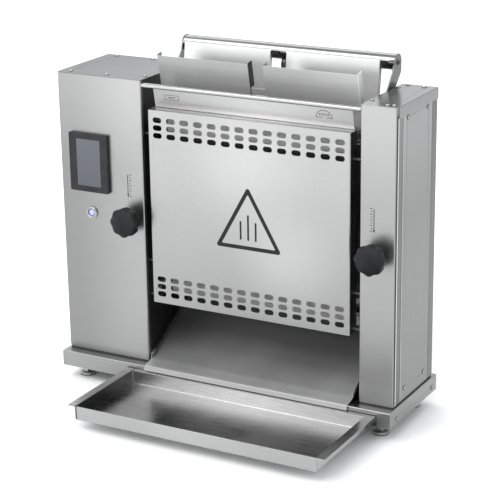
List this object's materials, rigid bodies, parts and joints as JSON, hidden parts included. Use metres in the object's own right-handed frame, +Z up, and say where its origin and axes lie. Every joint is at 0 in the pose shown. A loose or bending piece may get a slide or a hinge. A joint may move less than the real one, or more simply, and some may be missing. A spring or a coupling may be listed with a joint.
{
  "type": "vertical contact bun toaster",
  "caption": "Stainless bun toaster with two columns, a perforated front cover, a top feed throat with a handle bar, a chute and a slide-in tray, lobed gap knobs and a touch panel.",
  "frame": {"origin": "on the floor under the centre of the bounding box, tray pulled out and feet screwed in", "axes": "+X to the operator's right, +Y to the back, +Z up"},
  "size_m": [0.773, 0.459, 0.729],
  "materials": {
    "column_steel": "fine vertical and horizontal grain, satin",
    "base_steel": "satin, grain along the length",
    "cover_steel": "satin, grain along the width",
    "guide_steel": "satin",
    "bright_tube": "polished",
    "inner_steel": "dull, heat-darkened",
    "tray_steel": "satin with ground welds",
    "chute_steel": "satin",
    "platen_metal": "machined, heat-stained",
    "cap_steel": "satin",
    "heater_tube": "oxidised",
    "belt_mesh": "woven wire",
    "turned_steel": "turned",
    "gear_metal": "hobbed, oiled",
    "motor_paint": "satin paint",
    "board_green": "solder mask",
    "supply_case": "stamped",
    "black_plastic": "fine texture",
    "knob_plastic": "moulded, slightly glossy edges",
    "bezel_plastic": "smooth, satin",
    "screen_glass": "matte glass",
    "button_metal": "turned, satin",
    "button_light": "lit ring",
    "screw_steel": "bright zinc",
    "foot_rubber": "moulded"
  },
  "bodies": {
    "machine": {"left_front_panel": "column_steel", "right_front_panel": "column_steel", "left_side_cover": "column_steel", "right_side_cover": "column_steel", "left_back_panel": "column_steel", "right_back_panel": "column_steel", "left_top_cover": "column_steel", "right_top_cover": "column_steel", "rear_panel": "column_steel", "base_pan": "base_steel", "upper_front_panel": "cover_steel", "front_feed_guide": "guide_steel", "top_rail": "bright_tube", "left_inner_wall": "inner_steel", "right_inner_wall": "inner_steel", "inner_brackets": "inner_steel", "motor_bracket": "inner_steel", "chute": "chute_steel", "platen_front_plate": "platen_metal", "platen_rear_plate": "platen_metal", "platen_cap": "cap_steel", "heating_elements": "heater_tube", "front_belt": "belt_mesh", "rear_belt": "belt_mesh", "wall_pins": "turned_steel", "roller_bearings": "turned_steel", "gear_motor": "motor_paint", "control_board": "board_green", "power_supply": "supply_case", "fan_frame": "black_plastic", "cable_gland": "black_plastic", "touch_panel_housing": "bezel_plastic", "touch_screen": "screen_glass", "button_body": "button_metal", "fasteners": "screw_steel"},
    "tray": {"tray": "tray_steel"},
    "front_cover": {"front_cover": "cover_steel"},
    "rear_guide": {"handle_bar": "bright_tube", "handle_arms": "guide_steel", "rear_feed_guide": "guide_steel"},
    "left_adjuster": {"left_knob": "knob_plastic", "left_spindle": "turned_steel"},
    "right_adjuster": {"right_knob": "knob_plastic", "right_spindle": "turned_steel"},
    "front_presser": {"front_pressure_plate": "platen_metal"},
    "rear_presser": {"rear_pressure_plate": "platen_metal"},
    "front_drive": {"front_drive_roller": "turned_steel", "front_gear": "gear_metal"},
    "rear_drive": {"rear_drive_roller": "turned_steel", "rear_gear": "gear_metal"},
    "front_idler": {"front_idler_roller": "turned_steel"},
    "rear_idler": {"rear_idler_roller": "turned_steel"},
    "front_reversing": {"front_reversing_gear": "gear_metal"},
    "rear_reversing": {"rear_reversing_gear": "gear_metal"},
    "fan": {"fan_rotor": "black_plastic"},
    "power_button": {"button_cap": "button_light"},
    "levelling_foot_front_left": {"foot_front_left": "foot_rubber"},
    "levelling_foot_front_right": {"foot_front_right": "foot_rubber"},
    "levelling_foot_rear_left": {"foot_rear_left": "foot_rubber"},
    "levelling_foot_rear_right": {"foot_rear_right": "foot_rubber"}
  },
  "joints": [
    {"name": "tray_slide", "type": "slide", "parent": "machine", "child": "tray", "axis": [0, 1, 0], "range_m": [0, 0.185]},
    {"name": "cover_pull_off", "type": "slide", "parent": "machine", "child": "front_cover", "axis": [0, -1, 0], "range_m": [0, 0.12]},
    {"name": "rear_guide_tilt", "type": "hinge", "parent": "machine", "child": "rear_guide", "pos_m": [0.0625, 0.1385, 0.631], "axis": [-1, 0, 0], "range_deg": [0, 55]},
    {"name": "left_knob_turn", "type": "hinge", "parent": "machine", "child": "left_adjuster", "pos_m": [-0.208, 0.0205, 0.374], "axis": [0, 1, 0], "range_deg": [-720, 720]},
    {"name": "right_knob_turn", "type": "hinge", "parent": "machine", "child": "right_adjuster", "pos_m": [0.342, 0.0205, 0.374], "axis": [0, 1, 0], "range_deg": [-720, 720]},
    {"name": "front_press_slide", "type": "slide", "parent": "machine", "child": "front_presser", "axis": [0, 1, 0], "range_m": [-0.004, 0.004]},
    {"name": "rear_press_slide", "type": "slide", "parent": "machine", "child": "rear_presser", "axis": [0, 1, 0], "range_m": [-0.004, 0.004]},
    {"name": "front_drive_spin", "type": "hinge", "parent": "machine", "child": "front_drive", "pos_m": [0.0625, 0.0675, 0.577], "axis": [1, 0, 0], "continuous": true},
    {"name": "rear_drive_spin", "type": "hinge", "parent": "machine", "child": "rear_drive", "pos_m": [0.0625, 0.1695, 0.577], "axis": [1, 0, 0], "continuous": true},
    {"name": "front_idler_spin", "type": "hinge", "parent": "machine", "child": "front_idler", "pos_m": [0.0625, 0.0675, 0.232], "axis": [1, 0, 0], "continuous": true},
    {"name": "rear_idler_spin", "type": "hinge", "parent": "machine", "child": "rear_idler", "pos_m": [0.0625, 0.1695, 0.232], "axis": [1, 0, 0], "continuous": true},
    {"name": "front_reversing_spin", "type": "hinge", "parent": "machine", "child": "front_reversing", "pos_m": [0.0625, 0.1015, 0.577], "axis": [1, 0, 0], "continuous": true},
    {"name": "rear_reversing_spin", "type": "hinge", "parent": "machine", "child": "rear_reversing", "pos_m": [0.0625, 0.1355, 0.577], "axis": [1, 0, 0], "continuous": true},
    {"name": "fan_spin", "type": "hinge", "parent": "machine", "child": "fan", "pos_m": [-0.262, 0.2, 0.155], "axis": [0, 1, 0], "continuous": true},
    {"name": "power_button_press", "type": "slide", "parent": "machine", "child": "power_button", "axis": [0, 1, 0], "range_m": [0, 0.0015], "stiffness_N_per_m": 700},
    {"name": "foot_front_left_screw", "type": "slide", "parent": "machine", "child": "levelling_foot_front_left", "axis": [0, 0, -1], "range_m": [0, 0.008]},
    {"name": "foot_front_right_screw", "type": "slide", "parent": "machine", "child": "levelling_foot_front_right", "axis": [0, 0, -1], "range_m": [0, 0.008]},
    {"name": "foot_rear_left_screw", "type": "slide", "parent": "machine", "child": "levelling_foot_rear_left", "axis": [0, 0, -1], "range_m": [0, 0.008]},
    {"name": "foot_rear_right_screw", "type": "slide", "parent": "machine", "child": "levelling_foot_rear_right", "axis": [0, 0, -1], "range_m": [0, 0.008]}
  ],
  "couplings": [
    {"joint": "left_knob_turn", "follows": "front_press_slide", "rad_per_m": 3141.6},
    {"joint": "right_knob_turn", "follows": "rear_press_slide", "rad_per_m": -3141.6},
    {"joint": "rear_drive_spin", "follows": "front_drive_spin", "ratio": -1},
    {"joint": "front_idler_spin", "follows": "front_drive_spin", "ratio": 1},
    {"joint": "rear_idler_spin", "follows": "front_drive_spin", "ratio": -1},
    {"joint": "front_reversing_spin", "follows": "front_drive_spin", "ratio": -1},
    {"joint": "rear_reversing_spin", "follows": "front_drive_spin", "ratio": 1}
  ]
}
